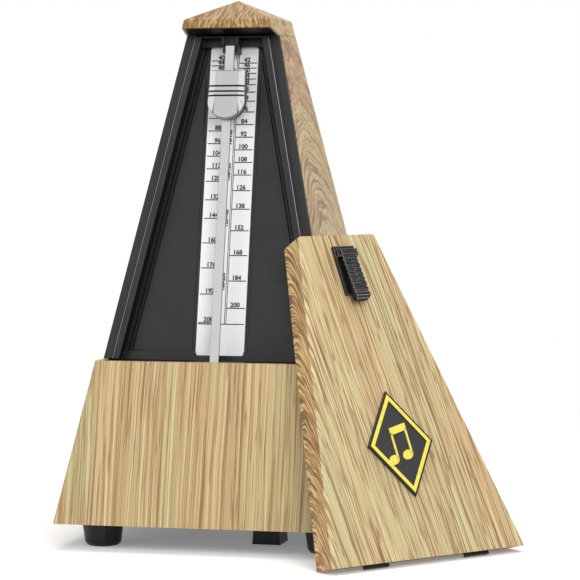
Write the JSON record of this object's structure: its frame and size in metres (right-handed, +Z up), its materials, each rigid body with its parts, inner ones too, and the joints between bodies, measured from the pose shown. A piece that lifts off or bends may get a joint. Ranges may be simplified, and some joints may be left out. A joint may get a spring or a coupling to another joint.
{
  "type": "metronome",
  "caption": "Wind-up pyramid metronome in figured wood, with an inverted pendulum, a tempo scale, and its front cover taken off and leant on the right front corner.",
  "frame": {"origin": "on the table, under the middle of the housing's four feet", "axes": "+Z up, -Y out of the front with the tempo scale, +X to the right as seen from the front"},
  "size_m": [0.1808, 0.1505, 0.2099],
  "materials": {
    "wood": "satin lacquer over figured veneer",
    "black_plastic": "satin moulded",
    "steel": "turned and polished",
    "rod_steel": "satin nickel",
    "brass": "brushed",
    "bell_brass": "polished",
    "scale_metal": "satin, printed with plain numbers",
    "cast_metal": "cast",
    "rubber": "matt",
    "badge_black": "black field with gold border"
  },
  "bodies": {
    "housing": {"casing": "wood", "cap": "wood", "front_frame": "black_plastic", "rod_clip": "black_plastic", "scale_plate": "scale_metal", "bottom_plate": "black_plastic", "housing_screws": "steel", "foot_front_left": "rubber", "foot_front_right": "rubber", "foot_rear_left": "rubber", "foot_rear_right": "rubber", "middle_foot": "rubber", "left_plate": "brass", "right_plate": "brass", "movement_pillars": "brass", "movement_screws": "steel", "potence": "brass", "front_bridge": "brass", "rear_bridge": "brass", "click_post": "steel", "bell": "bell_brass", "bell_post": "steel", "hammer_post": "steel"},
    "pendulum": {"pendulum_arbor": "steel", "pendulum_rod": "rod_steel", "lower_weight": "cast_metal"},
    "tempo_weight": {"sliding_weight": "rod_steel", "weight_spring": "steel"},
    "barrel": {"barrel": "brass", "great_wheel": "brass"},
    "winding": {"winding_arbor": "steel", "ratchet_wheel": "steel", "winding_key": "steel"},
    "click": {"click": "steel"},
    "second": {"second_arbor": "steel", "second_wheel": "brass"},
    "escape": {"escape_arbor": "steel", "crown_wheel": "brass"},
    "hammer": {"hammer": "steel"},
    "selector": {"selector_rod": "steel"},
    "cams": {"beat_cams": "brass", "cam_gear": "brass"},
    "cover": {"cover_shell": "wood", "cover_hooks": "black_plastic", "latch_plate": "black_plastic", "latch_pin": "steel", "badge": "badge_black"},
    "latch": {"latch_lever": "black_plastic"}
  },
  "joints": [
    {"name": "pendulum_swing", "type": "hinge", "parent": "housing", "child": "pendulum", "pos_m": [0, -0.04609, 0.06845], "axis": [0, 0.9779, -0.2093], "range_deg": [-22, 22]},
    {"name": "tempo_slide", "type": "slide", "parent": "pendulum", "child": "tempo_weight", "axis": [0, 0.2093, 0.9779], "range_m": [-0.093, 0.006]},
    {"name": "winding_turn", "type": "hinge", "parent": "housing", "child": "winding", "pos_m": [0, 0.006, 0.036], "axis": [1, 0, 0], "continuous": true},
    {"name": "barrel_turn", "type": "hinge", "parent": "housing", "child": "barrel", "pos_m": [0, 0.006, 0.036], "axis": [1, 0, 0], "continuous": true},
    {"name": "second_turn", "type": "hinge", "parent": "housing", "child": "second", "pos_m": [0, -0.01591, 0.04696], "axis": [1, 0, 0], "continuous": true},
    {"name": "escape_turn", "type": "hinge", "parent": "housing", "child": "escape", "pos_m": [0, -0.01578, 0.06196], "axis": [1, 0, 0], "continuous": true},
    {"name": "click_lift", "type": "hinge", "parent": "housing", "child": "click", "pos_m": [0, -0.00436, 0.04603], "axis": [1, 0, 0], "range_deg": [0, 14], "stiffness_Nm_per_rad": 0.002, "springref_deg": -11.46},
    {"name": "hammer_lift", "type": "hinge", "parent": "housing", "child": "hammer", "pos_m": [0, 0.0025, 0.02], "axis": [1, 0, 0], "range_deg": [0, 12], "stiffness_Nm_per_rad": 0.005, "springref_deg": -8.59},
    {"name": "selector_slide", "type": "slide", "parent": "housing", "child": "selector", "axis": [-1, 0, 0], "range_m": [0, 0.008]},
    {"name": "cam_turn", "type": "hinge", "parent": "selector", "child": "cams", "pos_m": [0, -0.00932, 0.03283], "axis": [1, 0, 0], "continuous": true},
    {"name": "cover_lift", "type": "slide", "parent": "housing", "child": "cover", "axis": [0, 0, 1], "range_m": [0, 0.25]},
    {"name": "latch_pull", "type": "hinge", "parent": "cover", "child": "latch", "pos_m": [0.0486, -0.02419, 0.11238], "axis": [-0.6455, -0.7638, 0], "range_deg": [0, 12], "stiffness_Nm_per_rad": 0.02, "springref_deg": -8.59}
  ],
  "couplings": [
    {"joint": "second_turn", "follows": "barrel_turn", "ratio": -6},
    {"joint": "escape_turn", "follows": "barrel_turn", "ratio": 30},
    {"joint": "cam_turn", "follows": "barrel_turn", "ratio": 2.6667}
  ]
}
